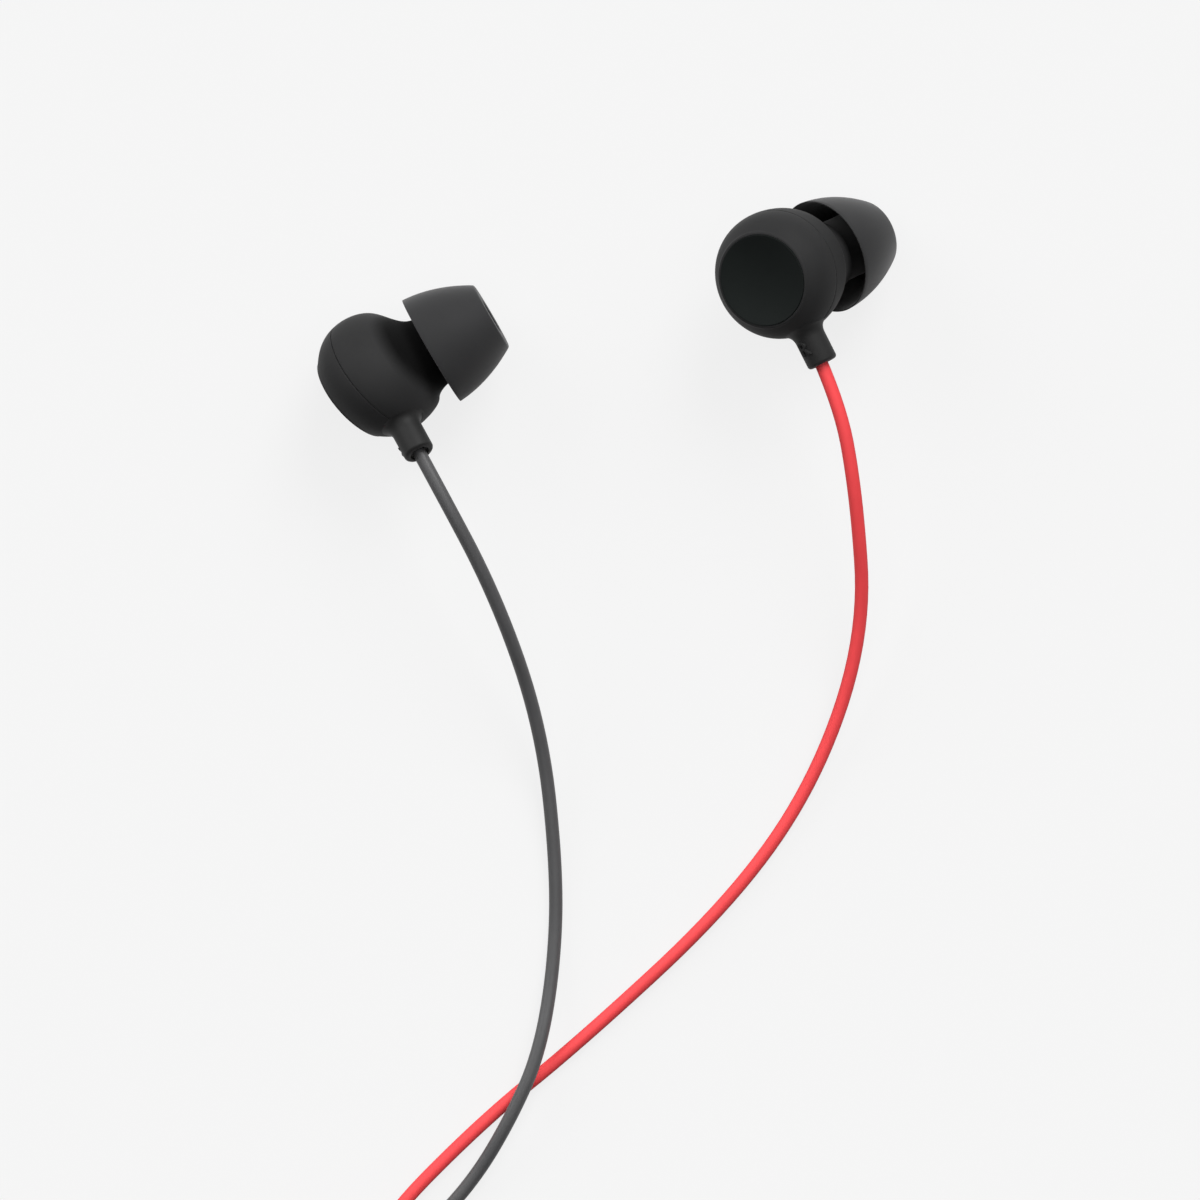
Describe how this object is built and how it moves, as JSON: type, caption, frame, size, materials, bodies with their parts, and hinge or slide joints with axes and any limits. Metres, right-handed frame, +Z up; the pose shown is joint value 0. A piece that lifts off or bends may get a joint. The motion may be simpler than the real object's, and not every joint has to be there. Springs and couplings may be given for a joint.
{
  "type": "wired earphones",
  "caption": "Wired in-ear earphones with angled nozzles, soft tips, two branch cords, a splitter and a straight plug.",
  "frame": {"origin": "on the surface that the earphones lie on, under the middle of the two ear buds", "axes": "+Z up, +X from the left bud to the right bud, -Y along the cords to the plug"},
  "size_m": [0.0695, 0.193, 0.0169],
  "materials": {
    "housing_black": "soft-touch matte",
    "disc_black": "satin, finely brushed",
    "tip_silicone": "smooth silicone",
    "relief_black": "matte elastomer",
    "cord_dark": "satin jacket",
    "cord_red": "matte jacket",
    "tie_black": "matte band",
    "crimp_brass": "bright",
    "driver_plastic": "moulded",
    "plated_steel": "nickel plated",
    "magnet_metal": "nickel plated",
    "copper_wire": "enamelled copper",
    "film": "thin film",
    "board_green": "solder resist",
    "paper": "porous paper",
    "foam": "closed-cell foam",
    "mesh_steel": "woven wire",
    "plug_metal": "bright nickel",
    "insulator": "moulded"
  },
  "bodies": {
    "root": {"left_front_shell": "housing_black", "left_rear_shell": "housing_black", "left_rear_disc": "disc_black", "left_stem": "relief_black", "left_cord_stop": "crimp_brass", "left_driver_frame": "driver_plastic", "left_yoke": "plated_steel", "left_magnet": "magnet_metal", "left_pole_plate": "plated_steel", "left_surround": "film", "left_driver_cover": "plated_steel", "left_terminal_board": "board_green", "left_damping_pad": "paper", "left_gasket": "foam", "left_nozzle_mesh": "mesh_steel", "left_lead_wires": "copper_wire", "right_front_shell": "housing_black", "right_rear_shell": "housing_black", "right_rear_disc": "disc_black", "right_stem": "relief_black", "right_cord_stop": "crimp_brass", "right_driver_frame": "driver_plastic", "right_yoke": "plated_steel", "right_magnet": "magnet_metal", "right_pole_plate": "plated_steel", "right_surround": "film", "right_driver_cover": "plated_steel", "right_terminal_board": "board_green", "right_damping_pad": "paper", "right_gasket": "foam", "right_nozzle_mesh": "mesh_steel", "right_lead_wires": "copper_wire", "left_cord": "cord_dark", "left_hank": "cord_dark", "left_tail": "cord_dark", "right_cord": "cord_red", "right_hank": "cord_red", "right_tail": "cord_red", "main_lead": "cord_dark", "main_hank": "cord_dark", "main_tail": "cord_dark", "cord_ties": "tie_black", "splitter_shell": "relief_black", "splitter_core": "driver_plastic", "plug_strain_relief": "relief_black", "plug_grip": "relief_black", "plug_core": "plug_metal", "plug_sleeve": "plug_metal", "plug_ring": "plug_metal", "plug_tip": "plug_metal", "plug_insulators": "insulator"},
    "left_tip": {"left_ear_tip": "tip_silicone"},
    "left_cone": {"left_voice_coil": "copper_wire", "left_diaphragm": "film"},
    "right_tip": {"right_ear_tip": "tip_silicone"},
    "right_cone": {"right_voice_coil": "copper_wire", "right_diaphragm": "film"}
  },
  "joints": [
    {"name": "left_tip_slide", "type": "slide", "parent": "root", "child": "left_tip", "axis": [0.8644, 0.5009, 0.0433], "range_m": [0, 0.006]},
    {"name": "left_cone_travel", "type": "slide", "parent": "root", "child": "left_cone", "axis": [0.7091, 0.6051, 0.362], "range_m": [-0.00015, 0.00015], "stiffness_N_per_m": 44},
    {"name": "right_tip_slide", "type": "slide", "parent": "root", "child": "right_tip", "axis": [0.6919, 0.3189, -0.6478], "range_m": [0, 0.006]},
    {"name": "right_cone_travel", "type": "slide", "parent": "root", "child": "right_cone", "axis": [0.4389, 0.182, -0.8799], "range_m": [-0.00015, 0.00015], "stiffness_N_per_m": 44}
  ]
}
